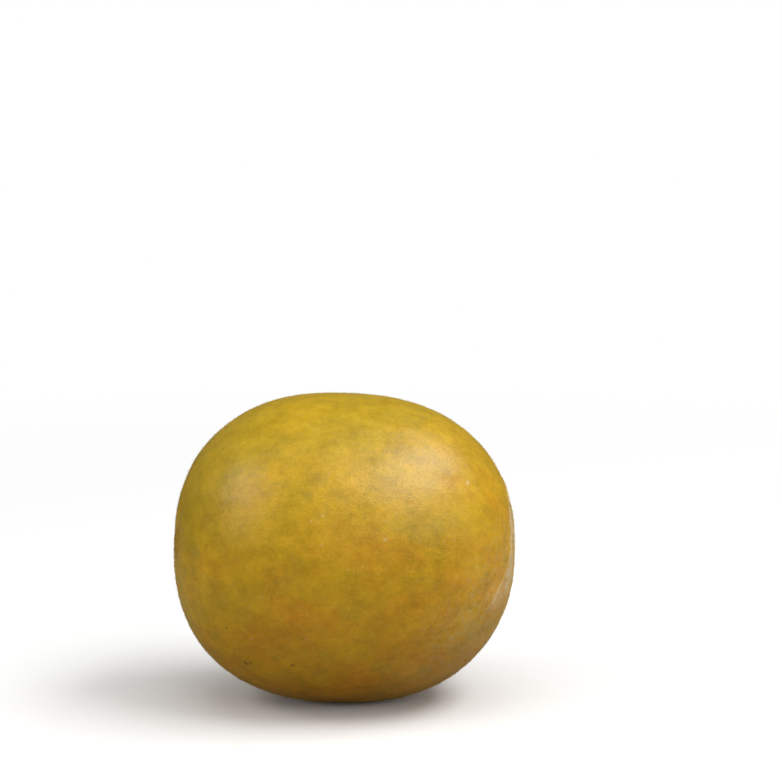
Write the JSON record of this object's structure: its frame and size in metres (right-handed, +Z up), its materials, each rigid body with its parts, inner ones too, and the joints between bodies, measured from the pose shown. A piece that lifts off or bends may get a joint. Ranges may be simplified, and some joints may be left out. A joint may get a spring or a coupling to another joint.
{
  "type": "dried monk fruit",
  "caption": "Whole dried monk fruit, a blunt oval with a downy mottled rind, a stalk scar at one end and a blossom scar at the other, lying on a small flat spot.",
  "frame": {"origin": "on the surface the fruit lies on, under the middle of its box", "axes": "+X along the fruit towards its stem end, +Z up; the fruit's own axis leans 3.5 degrees down at the stem end, and the blossom end is at -X"},
  "size_m": [0.0636, 0.058, 0.0578],
  "materials": {
    "rind": "matte downy rind, olive to ochre yellow with amber patches"
  },
  "bodies": {
    "root": {"monk_fruit": "rind"}
  },
  "joints": []
}
